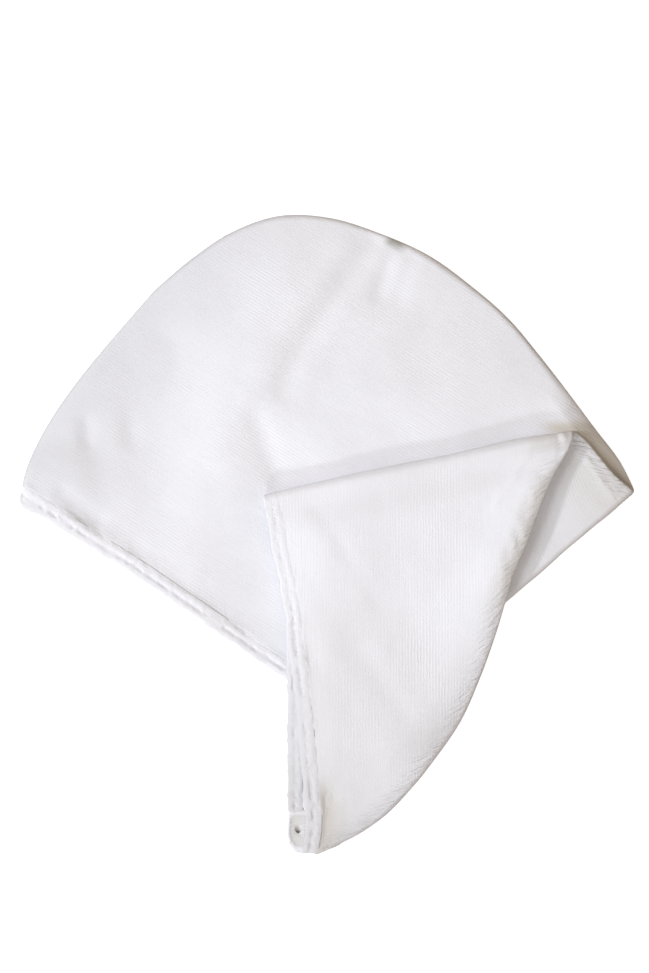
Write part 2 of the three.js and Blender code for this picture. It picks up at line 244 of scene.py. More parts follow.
def noise(x, y, layer=0):
    """Smooth noise from -1 to 1 with features about one unit wide."""
    table = NOISE[layer % len(NOISE)]
    i, j = np.floor(x).astype(int), np.floor(y).astype(int)
    u, v = x - i, y - j
    u, v = u * u * u * (u * (u * 6 - 15) + 10), v * v * v * (v * (v * 6 - 15) + 10)
    a, b = i % NOISE_SIZE, j % NOISE_SIZE
    a1, b1 = (i + 1) % NOISE_SIZE, (j + 1) % NOISE_SIZE
    return lerp(lerp(table[a, b], table[a1, b], u), lerp(table[a, b1], table[a1, b1], u), v)


# Height maps over the plan
MAP_CELL = 2.0
rim_points = np.stack([top_line, opening_edge(top_line)], 1)
map_places = lay_down(np.concatenate([SEAM_LINE, rim_points]))[0]
MAP_LOW = map_places.min(0) - HEM_WIDTH - 2 * PRESS_REACH
MAP_HIGH = map_places.max(0) + HEM_WIDTH + 2 * PRESS_REACH
MAP_SIZE = np.ceil((MAP_HIGH - MAP_LOW) / MAP_CELL).astype(int) + 1
MAP_X, MAP_Y = np.meshgrid(np.arange(MAP_SIZE[0]), np.arange(MAP_SIZE[1]), indexing="xy")
MAP_PLACES = np.stack([MAP_X, MAP_Y], -1) * MAP_CELL + MAP_LOW


def windows(values, radius, merge):
    """Each value merged with those within radius, along both axes."""
    for axis in (0, 1):
        ends = [(radius, radius) if n == axis else (0, 0) for n in (0, 1)]
        view = np.lib.stride_tricks.sliding_window_view(
            np.pad(values, ends, mode="edge"), 2 * radius + 1, axis=axis
        )
        values = merge(view, axis=-1)
    return values


class Map:
    """Heights over the plan, spread out as cloth bridges the edges under it."""

    def __init__(self, values, reach):
        values = windows(values, round(reach / MAP_CELL), np.max)
        for share in (0.44, 0.36, 0.28):
            values = windows(values, max(1, round(share * reach / MAP_CELL)), np.mean)
        self.values = values

    def __call__(self, place):
        at = (place - MAP_LOW) / MAP_CELL
        i = np.clip(np.floor(at[..., 0]).astype(int), 0, MAP_SIZE[0] - 2)
        j = np.clip(np.floor(at[..., 1]).astype(int), 0, MAP_SIZE[1] - 2)
        u, v = at[..., 0] - i, at[..., 1] - j
        m = self.values
        return lerp(lerp(m[j, i], m[j, i + 1], u), lerp(m[j + 1, i], m[j + 1, i + 1], u), v)


def covers(section, p):
    inside = (p[..., 1] > opening_edge(p[..., 0])) & (p[..., 1] < seam_edge(p[..., 0]))
    started = (bowed(0.0, p[..., 1]) < p[..., 0]) & (p[..., 0] < TAIL_END + HEM_WIDTH)
    return inside & started & (section_of(p) == section)


tail_press = Map(
    (covers(1, pattern_at(1, MAP_PLACES)) | covers(2, pattern_at(2, MAP_PLACES))).astype(float),
    PRESS_REACH,
)


def pressed(p):
    """How much of its thickness the cloth keeps, least at the flap's upper left corner."""
    corner = np.array([FOLDS[1].start, 0.0])
    away = np.linalg.norm(p - corner, axis=-1) / CORNER_REACH
    return 1 - CORNER_PRESS * np.exp(-away * away)


def wall_pitch(side, p):
    """Spacing of the walls, wider where they end in the thicker hem."""
    inward = p[..., 1] - rim_edge(side, p[..., 0]) - HEM_WIDTH
    thick = lerp(HEM_THICKNESS, CLOTH_THICKNESS, smoothstep(inward, 0, HEM_FADE))
    return thick * pressed(p) + CLEARANCE


# Foot of the cloth's rise towards the flap's free edge, in the pattern
SHOULDER_LINE = [(0.573, 0.655), (0.474, 0.407)]

# Dents and ridges of the upper wall along lines in the pattern: points, reach and rise in
# millimetres
CREASES = [
    ([(0.158, 0.952), (0.153, 0.789), (0.153, 0.64), (0.159, 0.552)], 8, -1.4),
    ([(0.178, 0.84), (0.178, 0.79), (0.178, 0.65), (0.184, 0.57)], 20, -1.5),
    ([(0.134, 0.9), (0.128, 0.77), (0.127, 0.62), (0.132, 0.5)], 10, 0.9),
    ([(0.151, 0.458), (0.172, 0.418), (0.2, 0.365)], 7.5, -1.4),
    ([(0.178, 0.45), (0.202, 0.41), (0.228, 0.37)], 17, -1.2),
    ([(0.093, 0.83), (0.106, 0.605), (0.11, 0.461), (0.131, 0.366), (0.169, 0.305), (0.209, 0.206)],
     13, 0.9),
    ([(0.012, 0.235), (0.022, 0.2)], 5, -1.5), ([(0.027, 0.22), (0.037, 0.19)], 9, -0.9),
    ([(0.05, 0.29), (0.058, 0.26)], 6, -1.0), ([(0.03, 0.066), (0.075, 0.058)], 4.5, -1.1),
    ([(0.085, 0.062), (0.17, 0.055)], 5, -0.6), ([(0.2, 0.06), (0.25, 0.045)], 8, -0.6),
    ([(0.168, 0.992), (0.181, 0.985)], 3, -2.5), ([(0.178, 0.96), (0.188, 0.86)], 5, -1.0),
    ([(0.186, 0.9), (0.2, 0.86)], 10, -0.8), ([(0.198, 0.97), (0.206, 0.88)], 4.5, -0.7),
    ([(0.24, 0.86), (0.25, 0.8)], 16, -0.6), ([(0.3, 0.7), (0.36, 0.55)], 20, 0.4),
    ([(0.045, 0.45), (0.075, 0.3), (0.12, 0.16)], 27, -4.2),
    ([(0.75, 0.13), (0.93, 0.15)], 34, 3.2),
]


def creases(p):
    total = 0
    for points, reach, rise in CREASES:
        away = line_distance(p, np.array(points) * (RIM_LENGTH, CLOTH_WIDTH)) / reach
        total = total + rise * np.exp(-away * away)
    return total


def shoulder(p):
    """The rise of the cloth where it runs in under the flap's free edge."""
    foot = np.array(SHOULDER_LINE) * (RIM_LENGTH, CLOTH_WIDTH)
    along = foot[1] - foot[0]
    length = np.linalg.norm(along)
    along = along / length
    across = np.array([-along[1], along[0]])
    away = (p - foot[0]) @ across
    on = (p - foot[0]) @ along
    ends = smoothstep(on, -4, 16) * (1 - smoothstep(on, length - 12, length + 16))
    return SHOULDER_RISE * smoothstep(away, 0, SHOULDER_REACH) * ends


def puff(section, p, place):
    """Air between the two walls of a section."""
    if section == 1:
        return shoulder(p)
    away = line_distance(p, SEAM_LINE)
    reach = CROWN_RISE if section == 0 else TAIL_RISE
    rise = 1 - (1 - np.clip(away / reach, 0, 1)) ** 2
    if section == 0:
        rise = lerp(rise, 1 - (1 - np.clip(away / EDGE_RISE, 0, 1)) ** 2, EDGE_SHARE)
        corner = smoothstep(p[..., 0] / RIM_LENGTH, 0.37, 0.43)
        rise = lerp(rise, np.clip(away / SIDE_RISE, 0, 1), corner)
    near_fold = np.minimum(*[np.abs(fold.past(p)) for fold in FOLDS])
    held = smoothstep(near_fold, FOLD_TURN, 3 * FOLD_TURN)
    inside = smoothstep(away, 0, 3)
    if section == 2:
        inward = smoothstep(p[..., 1] - rim_edge("front", p[..., 0]), 0, 3 * HEM_WIDTH)
        return held * np.maximum(0, TAIL_PUFF * inward * rise + creases(p) * inside)
    deep = lerp(MOUTH_PUFF, HOOD_PUFF, smoothstep(p[..., 1], 0, MOUTH_DEPTH))
    # the hood stays fuller under the flap where it comes near the seam at the right
    kept = 0.75 * np.exp(-(away / 30) ** 2) * smoothstep(p[..., 0] / RIM_LENGTH, 0.28, 0.38)
    pressed_in = PRESS_SHARE * tail_press(place) * (1 - kept)
    return held * np.maximum(0, (1 - pressed_in) * deep * rise + creases(p) * inside)


BUTTON_CENTRE = np.array([
    BUTTON_DIAMETER / 2 + BUTTON_INSET,
    (HEM_WIDTH + BUTTON_DIAMETER) / 2 - BUTTON_INSET,
])
button_away = np.linalg.norm(pattern_at(0, MAP_PLACES) - BUTTON_CENTRE, axis=-1)
over_button = np.where(button_away < BUTTON_DIAMETER / 2 + 3, BUTTON_THICKNESS + CLEARANCE, 0.0)
supports = [Map(over_button, DRAPE_REACH)]


def top_of(section):
    p = pattern_at(section, MAP_PLACES)
    walls = 2 * wall_pitch("back" if section == 1 else "front", p)
    tops = supports[section](MAP_PLACES) + walls + puff(section, p, MAP_PLACES)
    return np.where(covers(section, p), tops, 0)


supports.append(Map(top_of(0), DRAPE_REACH))
supports.append(Map(np.maximum(top_of(0), top_of(1)), TAIL_DRAPE_REACH))


def lifted(section, p):
    """How far the flap's edge stands up from the cloth under it, beside the fold."""
    if section != 2:
        return np.zeros(p.shape[:-1])
    along = FOLDS[1].past(p)
    reach = smoothstep(along, 0, 12) * (1 - smoothstep(along, 50, 140))
    away = line_distance(p, SEAM_LINE) / EDGE_LIFT_REACH
    return EDGE_LIFT * reach * np.exp(-away * away)


def rounded(p):
    """How far the walls have parted beside the seam, from 0 at its edge to 1."""
    away = np.minimum(line_distance(p, SEAM_LINE), line_distance(p, END_LINE))
    along = FOLDS[0].past(p)
    side = smoothstep(along, -110, -60) * (1 - smoothstep(along, -8, 2))
    past = FOLDS[1].past(p)
    flap = smoothstep(past, 12, 40) * (1 - smoothstep(past, 90, 130))
    reach = lerp(lerp(SEAM_ROUND, FLAP_ROUND, flap), SIDE_ROUND, side * (p[:, 1] > CLOTH_WIDTH / 2))
    return np.sqrt(np.clip(1 - (1 - np.clip(away / reach, 0, 1)) ** 2, 0, 1))


def level(section, side, p, place, outward, part):
    """Height of a point of a wall, outward from the middle of its thickness."""
    pitch = wall_pitch(side, p)
    upper = (section == 1) != (side == "front")
    under = supports[section](place) - CLEARANCE / 2 + pitch + lifted(section, p)
    if upper:
        return under + (pitch / 2 + outward) * part + puff(section, p, place)
    return under - (pitch / 2 + outward) * part


def placed(side, p, outward, part=None):
    """Pattern points of a wall in their folded place, outward from the wall's middle."""
    place, section, turn, out = lay_down(p)
    part = rounded(p) if part is None else part
    low, high = np.zeros(len(p)), np.zeros(len(p))
    middle_low, middle_high = np.zeros(len(p)), np.zeros(len(p))
    for n in (0, 1, 2):
        here = section == n
        if here.any():
            args = p[here], place[here]
            low[here] = level(n, side, *args, outward[here], part[here])
        rolling = here & (turn > 0)
        if rolling.any():
            args = p[rolling], place[rolling]
            none = np.zeros(rolling.sum())
            middle_low[rolling] = level(n, side, *args, none, part[rolling])
            middle_high[rolling] = level(n + 1, side, *args, none, part[rolling])
            high[rolling] = level(n + 1, side, *args, outward[rolling], part[rolling])
    x, y, z = place[:, 0].copy(), place[:, 1].copy(), low.copy()
    rolling = turn > 0
    radius = (high[rolling] - low[rolling]) / 2
    t = turn[rolling]
    x[rolling] += out[rolling, 0] * radius * np.sin(t)
    y[rolling] += out[rolling, 1] * radius * np.sin(t)
    z[rolling] = low[rolling] + radius * (1 - np.cos(t))
    return np.stack([x, y, z], 1)


# The pattern's origin in the row frame, from the button's box
button_low, button_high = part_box("button")
button_plan = turned(BUTTON_CENTRE, RIM_SLOPE)
ORIGIN = np.array([
    500 * (button_low.x + button_high.x) - button_plan[0],
    500 * (button_low.y + button_high.y) - button_plan[1],
    0,
])


def to_metres(points):
    return (points + ORIGIN) / 1000


def fold_lines(start, end, spacing, turn_steps):
    """Straight lines across the pattern, parallel to each fold where they turn round it."""
    reach = [FOLD_TURN / 2 / fold.normal[0] for fold in FOLDS]
    stops = [
        (start, FOLDS[0].start - reach[0], 0.0, FOLDS[0].slope),
        (FOLDS[0].start + reach[0], FOLDS[1].start - reach[1], FOLDS[0].slope, FOLDS[1].slope),
        (FOLDS[1].start + reach[1], end, FOLDS[1].slope, 0.0),
    ]
    lines = []
    for n, (low, high, lean_low, lean_high) in enumerate(stops):
        steps = math.ceil((high - low) / spacing)
        t = np.arange(steps + 1) / steps
        lines.append(np.stack([lerp(low, high, t), lerp(lean_low, lean_high, t)], 1))
        if n < 2:
            t = np.arange(1, turn_steps) / turn_steps
            s = lerp(high, stops[n + 1][0], t)
            lines.append(np.stack([s, np.full_like(s, FOLDS[n].slope)], 1))
    return np.concatenate(lines)


def meets(lines, edge):
    """Where leaning lines meet an edge of the pattern."""
    w = edge(lines[:, 0])
    for _ in range(12):
        w = edge(lines[:, 0] + lines[:, 1] * w)
    return w


def mesh_object(name, points, faces, pattern, beside=None):
    """A mesh in the row frame, with its pattern coordinates and its distances in UV maps."""
    points = points.copy()
    points[:, 2] = np.maximum(points[:, 2], 0)
    data = bpy.data.meshes.new(name)
    data.from_pydata(to_metres(points).tolist(), [], faces)
    data.validate()
    data.update()
    data.polygons.foreach_set("use_smooth", [True] * len(data.polygons))
    corner = np.zeros(len(data.loops), int)
    data.loops.foreach_get("vertex_index", corner)
    for layer_name, values in (("pattern", pattern), ("beside", beside)):
        if values is not None:
            layer = data.uv_layers.new(name=layer_name)
            layer.uv.foreach_set("vector", (values[corner] / 1000).astype(np.float32).ravel())
    piece = bpy.data.objects.new(name, data)
    bpy.context.scene.collection.objects.link(piece)
    return piece


def grid_faces(rows, columns, wrap=False, base=0):
    """Quads of a grid of points, row by row."""
    n = np.arange(rows - 1)[:, None] * columns
    m = np.arange(columns if wrap else columns - 1)[None, :]
    after = (m + 1) % columns
    quads = np.stack([n + m, n + after, n + columns + after, n + columns + m], -1)
    return (quads.reshape(-1, 4) + base)


def gathered(s, seed):
    """How strongly the hem is gathered along its length, least beside the upper fold."""
    calm = np.exp(-(((s - FOLDS[1].start - 20) / 45) ** 2))
    return (1 - 0.7 * calm) * (0.75 + 0.45 * noise(s / 27 + seed, 0 * s + 1.7, 7))


# Small ridges and dents of the outer faces: side, from, to, reach, rise in millimetres
RIDGES = [
    ("front", (0.599, 0.612), (0.63, 0.568), 2.4, 0.5), ("front", (0.63, 0.568), (0.66, 0.52), 2.0, 0.4),
    ("front", (0.94, 0.13), (0.985, 0.118), 5.0, -1.1),
    ("front", (0.66, 0.1), (0.75, 0.24), 5.0, -0.35), ("front", (0.8, 0.2), (0.86, 0.3), 7.0, -0.4),
    ("back", (0.563, 0.7), (0.551, 0.712), 1.5, 0.5), ("back", (0.551, 0.712), (0.527, 0.72), 1.5, 0.5),
    ("back", (0.527, 0.72), (0.508, 0.732), 1.5, 0.5),
]


def cloth_relief(side, p):
    """Small wrinkles and puckers of the cloth's face, in millimetres outward."""
    s, w = p[:, 0], p[:, 1]
    inward = w - rim_edge(side, s) - HEM_WIDTH
    away = line_distance(p, SEAM_LINE)
    hem_fade = np.exp(-np.clip(inward, 0, None) / 11)
    seam_fade = np.exp(-away / 7)
    relief = 0.32 * noise(s / 34, w / 26, 0) + 0.12 * noise(s / 15, w / 11, 1)
    relief += 0.03 * noise(s / 5, w / 4, 2)
    # puckers that the elastic draws in beside the hem, and those along the seam
    strength = gathered(s, 0) * (0.55 + 0.45 * noise(s / 31, 0 * s + 2.5, 6))
    relief += 0.3 * strength * hem_fade * noise(s / 5.5 + 0.06 * w, inward / 22, 3)
    relief += 0.2 * strength * hem_fade * noise(s / 26, inward / 2.4, 4)
    # the hollow between the hem and the cloth beside it
    hollow = 0.45 + 0.4 * noise(s / 19, 0 * s + 4.4, 2)
    hollow += 0.55 * smoothstep(s, 12, 45) * (1 - smoothstep(s, 60, 190)) * (side == "front")
    hollow *= gathered(s, 0)
    hollow *= 1 + 0.8 * noise(s / 11, 0 * s + 6.1, 3)
    across = np.clip(inward, 0, None) / 3.4
    relief -= np.clip(hollow, 0, None) * across * np.exp(1 - across)
    relief += 0.22 * seam_fade * noise(s / 6 + 0.05 * w, away / 14, 5)
    for of_side, start, end, reach, rise in RIDGES:
        if of_side == side:
            line = np.array([start, end]) * (RIM_LENGTH, CLOTH_WIDTH)
            near = line_distance(p, line) / reach
            relief += rise * np.exp(-near * near)
    along = FOLDS[1].past(p)
    if side == "front":
        # the roll of the flap's edge, gathered aslant
        beside = smoothstep(along, -4, 6) * (1 - smoothstep(along, 55, 110))
        relief += beside * 0.22 * np.exp(-(((away - 4.5) / 2.6) ** 2))
        relief -= beside * 0.22 * np.exp(-(((away - 9.5) / 2.2) ** 2))
        slant = noise((s + 1.2 * away) / 4.2, away / 9, 6) + 0.5 * noise((s + away) / 2.4, away / 6, 1)
        relief += beside * 0.8 * slant * np.exp(-(((away - 6) / 5.0) ** 2))
    else:
        # fine ridges that run beside the seam
        beside = smoothstep(along, -110, -80) * (1 - smoothstep(along, -8, 0))
        relief += beside * 0.16 * np.sin(away * 2 * np.pi / 2.7) * (1 - smoothstep(away, 7, 12))
    return relief


def edge_rows(low, high, beside):
    """Rows from the hem to the seam: close together beside both, then even between."""
    rows_at_hem = np.array([0, 0.8, 1.5, 2.1, 2.8, 3.6, 4.8, 6.2])
    rows_at_seam = np.array([12, 10.8, 9.6, 8.4, 7.2, 6, 4.9, 3.8, 2.8, 2.0, 1.3, 0.75, 0.3, 0])
    span = high - low
    scale = np.minimum(1, span / 24)[:, None]
    first = low[:, None] + rows_at_hem * scale
    last = high[:, None] - rows_at_seam * scale
    t = np.arange(1, beside) / beside
    between = lerp(first[:, -1:], last[:, :1], t[None, :])
    return np.concatenate([first, between, last], 1)


def panel(side, name):
    """A cloth panel: its two faces over one grid of the pattern, joined round the edge."""
    lines = fold_lines(0, TAIL_END, 1.9, 16)
    ends = np.array([0.25, 0.6, 1.1, 1.7])
    near = np.stack([ends, np.zeros_like(ends)], 1)
    far = np.stack([TAIL_END - ends[::-1], np.zeros_like(ends)], 1)
    lines = np.concatenate([lines[:1], near, lines[1:-1], far, lines[-1:]])
    casing = HEM_WIDTH - HEM_OVERLAP
    low = meets(lines, lambda s: rim_edge(side, s) + casing_width(side, s, casing))
    high = np.maximum(meets(lines, seam_edge), low + CLOTH_THICKNESS)
    w = edge_rows(low, high, 78)
    s = lines[:, :1] + lines[:, 1:] * w
    p = np.stack([bowed(s, w), w], -1)
    shape, p = p.shape[:2], p.reshape(-1, 2)
    inward = p[:, 1] - rim_edge(side, p[:, 0]) - HEM_WIDTH
    part = rounded(p)
    deep = gathered(p[:, 0], 0) * (0.14 + 0.2 * noise(p[:, 0] / 17, p[:, 0] * 0 + 7.5, 7))
    tuck = 1 - np.clip(deep, 0, 1) * (1 - np.clip((inward + 0.5) / 3.2, 0, 1)) ** 2
    half = CLOTH_THICKNESS / 2
    away = line_distance(p, SEAM_LINE)
    closing = smoothstep(away, 0.3, 4)
    thin = pressed(p)
    shown = lerp(0.4, 1, smoothstep(inward, -HEM_OVERLAP, -1))
    face = thin * half * tuck * shown + cloth_relief(side, p) * closing * tuck
    outer = placed(side, p, face, part)
    inner = placed(side, p, -thin * half, part)
    points = np.concatenate([outer, inner])
    count = len(outer)
    rows, columns = shape
    top = grid_faces(rows, columns)
    under = grid_faces(rows, columns, base=count)[:, ::-1]
    ring = np.concatenate([
        np.arange(columns),
        np.arange(1, rows) * columns + columns - 1,
        (rows - 1) * columns + np.arange(columns - 2, -1, -1),
        np.arange(rows - 2, 0, -1) * columns,
    ])
    after = np.roll(ring, -1)
    wall = np.stack([after, ring, ring + count, after + count], 1)
    faces = np.concatenate([top, under, wall])
    if side == "front":
        faces = faces[:, ::-1]
    beside = np.stack([np.clip(inward, 0, None), away], 1)
    return mesh_object(
        name, points, faces.tolist(), np.concatenate([p, p]), np.concatenate([beside, beside])
    )


LOOP_START = RIM_LENGTH - LOOP_INSET - LOOP_LENGTH
LOOP_CENTRE = np.array([LOOP_START + LOOP_LENGTH / 2, opening_edge(LOOP_START) + LOOP_WIDTH / 2])


def casing_width(side, s, width):
    """The room a panel leaves for its hem, and the back one for the loop."""
    if side == "front":
        return width + 0 * s
    share = smoothstep(s, LOOP_START - 3, LOOP_START + 2)
    return lerp(width, max(width, LOOP_WIDTH), share)


# The hem in section: share of its width from the outer edge, share of half its thickness
HEM_SECTION = np.array([
    (0, 0), (0.012, 0.34), (0.035, 0.56), (0.07, 0.74), (0.12, 0.88), (0.18, 0.95), (0.25, 0.97),
    (0.31, 0.95), (0.36, 0.9), (0.4, 0.86), (0.44, 0.84), (0.48, 0.87), (0.53, 0.93),
    (0.58, 1.0), (0.64, 1.08), (0.7, 1.14), (0.76, 1.12), (0.82, 1.02), (0.88, 0.86), (0.94, 0.68),
    (1, 0.45),
])
STITCH_LINE = 0.44


def rim(side, name, end):
    """The hem casing, drawn into gathers by its elastic and stitched along its middle."""
    lines = fold_lines(-NAPE_BULGE / 4, end, 0.8, 16)
    tips = np.array([0.12, 0.35, 0.7])
    start_tips = np.stack([lines[0, 0] + tips, 0 * tips], 1)
    end_tips = np.stack([lines[-1, 0] - tips[::-1], 0 * tips], 1)
    lines = np.concatenate([lines[:1], start_tips, lines[1:-1], end_tips, lines[-1:]])
    at_rim = meets(lines, lambda s: rim_edge(side, s))
    seed = 0 if side == "front" else 40
    s0 = lines[:, 0] + seed
    from_nape = lines[:, 0] + NAPE_BULGE / 4
    full = np.sqrt(1 - (1 - np.clip(from_nape / 5.5, 0, 1)) ** 2)
    closed = np.sqrt(1 - (1 - np.clip((end - lines[:, 0]) / END_ROUND, 0, 1)) ** 2)
    full = (0.12 + 0.88 * full) * (0.62 + 0.38 * closed)
    s1 = lines[:, 0]
    wave = 0.5 * noise(s1 / 5.2, 0 * s1 + 3.1, 0) + 0.3 * noise(s1 / 2.4, 0 * s1 + 8.4, 1)
    swell = NAPE_SWELL * np.exp(-(((from_nape - 7) / 8) ** 2))
    pull = gathered(lines[:, 0], seed)[:, None]
    half = HEM_THICKNESS / 2
    rings = []
    for face, order in ((1, slice(None)), (-1, slice(-2, 0, -1))):
        u = HEM_SECTION[order, 0][None, :]
        h = HEM_SECTION[order, 1][None, :]
        edge = (1 - u) ** 2
        reach = lerp(0.5, u, full[:, None])
        w = at_rim[:, None] + HEM_WIDTH * reach - (wave + swell)[:, None] * edge * full[:, None]
        s = lines[:, :1] + lines[:, 1:] * w
        across = HEM_WIDTH * u
        gather = noise((s0[:, None] + 0.7 * across) / 3.4, (across - 0.6 * s0[:, None]) / 4.1, 2)
        gather = gather + 0.6 * noise((s0[:, None] - across) / 2.9, (s0[:, None] + across) / 3.7, 3)
        stitch = np.exp(-(((u - STITCH_LINE) / 0.1) ** 2))
        ridge = np.exp(-(((u - 0.7) / 0.16) ** 2))
        pits = np.clip(1.3 * noise(s0[:, None] / 3.2, u * 2.0 + 5 + seed, 4) + 0.1, 0, 1)
        lumps = 0.3 * noise(s0[:, None] / 6.5 + seed, u * 2.0 + 0.1 * s0[:, None], 5)
        broken = 0.2 * ridge * noise(s0[:, None] / 6.5 + seed, u + 4.2, 6)
        change = pull * (0.8 * lumps + 1.6 * broken + 0.2 * gather * (0.6 + stitch))
        change = change - 1.0 * pull * pits * stitch
        lift = half * h * np.maximum(1 + change, 0.12) * pressed(np.stack([s, w], -1))
        rings.append((s, w, face * lift * (full * (0.3 + 0.7 * closed))[:, None]))
    s = np.concatenate([r[0] for r in rings], 1)
    w = np.concatenate([r[1] for r in rings], 1)
    lift = np.concatenate([r[2] for r in rings], 1)
    shape = s.shape
    p = np.stack([s, w], -1).reshape(-1, 2)
    points = placed(side, p, lift.ravel(), np.ones(len(p)))
    faces = grid_faces(*shape, wrap=True).tolist()
    count = shape[1]
    faces.append(list(range(count))[::-1])
    faces.append([(shape[0] - 1) * count + n for n in range(count)])
    if side == "front":
        faces = [f[::-1] for f in faces]
    return mesh_object(name, points, faces, p, np.zeros_like(p))


# The loop in section: share of the way from its outer edge to its hole, height as a share
LOOP_SECTION = np.array([
    (0, 0), (0.02, 0.42), (0.05, 0.72), (0.09, 0.9), (0.14, 1.0), (0.2, 0.97), (0.26, 0.9),
    (0.32, 0.8), (0.38, 0.7), (0.45, 0.61), (0.54, 0.55), (0.64, 0.52), (0.75, 0.49), (0.86, 0.42),
    (0.95, 0.3), (1, 0), (0.98, -0.6), (0.8, -0.8), (0.55, -0.84), (0.3, -0.88), (0.1, -0.75),
    (0.02, -0.4),
])
# scale of the painted shade of the loop's recess, as carried in its beside map
LOOP_SHADE_SCALE = 10.0


def fastening_loop(name):
    """The loop at the tip: a band round a recess of ribbed cloth with a small hole."""
    turns = 128
    angle = np.linspace(0, 2 * np.pi, turns, endpoint=False)[:, None]
    t, h = LOOP_SECTION[:, 0][None, :], LOOP_SECTION[:, 1][None, :]
    size = np.array([LOOP_LENGTH, LOOP_WIDTH]) / 2
    hole = LOOP_HOLE / 2
    wobble = 1 + 0.012 * np.sin(5 * angle + 1) + 0.01 * np.sin(11 * angle)
    # squarer where it leaves the hem than at its free end
    power = lerp(0.86, 0.52, smoothstep(-np.cos(angle), -0.5, 0.5))
    along = np.sign(np.cos(angle)) * np.abs(np.cos(angle)) ** power
    aside = np.sign(np.sin(angle)) * np.abs(np.sin(angle)) ** power
    # the hole slants, as the two sides of the loop lie nearly together
    slant = LOOP_SLANT * (h < -0.45) * t
    s = lerp(size[0] * along * wobble, LOOP_HOLE_SHIFT + slant + hole[0] * np.cos(angle), t)
    w = lerp(size[1] * aside * wobble, hole[1] * np.sin(angle) - LOOP_HOLE_DROP, t)
    s, w = s + LOOP_CENTRE[0], w + LOOP_CENTRE[1]
    recess = smoothstep(t, 0.3, 0.38) * (h > 0.2)
    wrap = 1 + 0.07 * noise(14 * angle, 2.5 * t, 6) * (1 - recess)
    lift = LOOP_THICKNESS / 2 * h * wrap + 0.22 * recess * np.sin(s * 2 * np.pi / 2.2)
    # its start lies under the end of the hem
    lift = lift * lerp(0.5, 1, smoothstep(s + 0 * t, LOOP_START, LOOP_START + 5))
    p = np.stack([s + 0 * t, w + 0 * t], -1).reshape(-1, 2)
    # the tip lies turned over, so the loop's face is on the inner side of its wall
    points = placed("back", p, -lift.ravel(), np.ones(len(p)))
    sides = t.shape[1]
    faces = grid_faces(turns, sides, wrap=True)
    last = (turns - 1) * sides
    m = np.arange(sides)
    after = (m + 1) % sides
    closing = np.stack([last + m, last + after, after, m], 1)
    faces = np.concatenate([faces, closing])
    # painted shade over the recess and down the walls of the hole, passed to the material in the beside
    # map
    painted_shade = smoothstep(t, 0.16, 0.42) * (h > -0.75)
    inside = np.stack([painted_shade + 0 * s, 0 * s], -1).reshape(-1, 2) * LOOP_SHADE_SCALE
    return mesh_object(name, points, faces[:, ::-1].tolist(), p, inside)


def button(name):
    """A plain disc with a raised rim and a dished middle."""
    radius, thick = BUTTON_DIAMETER / 2, BUTTON_THICKNESS
    outline = [
        (0.001, 0.0), (radius - 0.9, 0.0), (radius - 0.25, 0.22), (radius, 0.8), (radius, thick - 0.8),
        (radius - 0.3, thick - 0.2), (radius - 1.0, thick), (radius - 1.7, thick - 0.15),
        (radius - 2.4, thick - 0.7), (radius - 4, thick - 0.85), (0.001, thick - 0.85),
    ]
    sides = 64
    angle = np.linspace(0, 2 * np.pi, sides, endpoint=False)
    centre = turned(BUTTON_CENTRE, RIM_SLOPE)
    points = np.array([
        (centre[0] + r * c, centre[1] + r * s, z)
        for r, z in outline
        for c, s in zip(np.cos(angle), np.sin(angle))
    ])
    faces = grid_faces(len(outline), sides, wrap=True).tolist()
    faces.append(list(range(sides))[::-1])
    faces.append([(len(outline) - 1) * sides + n for n in range(sides)])
    return mesh_object(name, points, faces, points[:, :2])


def stitches(side, name, end):
    """Thread along the middle of the hem, one short raised stitch after another."""
    pitch, length, radius, sides = 2.6, 1.8, 0.13, 6
    starts = np.arange(2.0, end - 4, pitch)
    share = np.linspace(0, 1, 5)
    points, faces, pattern = [], [], []
    for n, start in enumerate(starts):
        s = start + length * share
        w = rim_edge(side, s) + HEM_WIDTH * STITCH_LINE + 0.12 * math.sin(n * 2.4)
        bend = np.sin(np.pi * share)
        thick = radius * (0.55 + 0.45 * bend)
        base = len(points) * 5 * sides
        ring = np.linspace(0, 2 * np.pi, sides, endpoint=False)
        ww = w[:, None] + thick[:, None] * np.cos(ring)
        ss = s[:, None] + 0 * ww
        up = HEM_THICKNESS / 2 * 0.5 + 0.14 * bend[:, None] + thick[:, None] * np.sin(ring)
        points.append(np.stack([ss, ww, up], -1).reshape(-1, 3))
        faces += grid_faces(5, sides, wrap=True, base=base).tolist()
        faces.append([base + m for m in range(sides)][::-1])
        faces.append([base + 4 * sides + m for m in range(sides)])
    flat = np.concatenate(points)
    p = flat[:, :2].copy()
    at = placed(side, p, flat[:, 2], np.ones(len(p)))
    if side == "front":
        faces = [f[::-1] for f in faces]
    return mesh_object(name, at, faces, p)


# Materials

def link_chain(tree, *pairs):
    for a, b in pairs:
        tree.links.new(a, b)


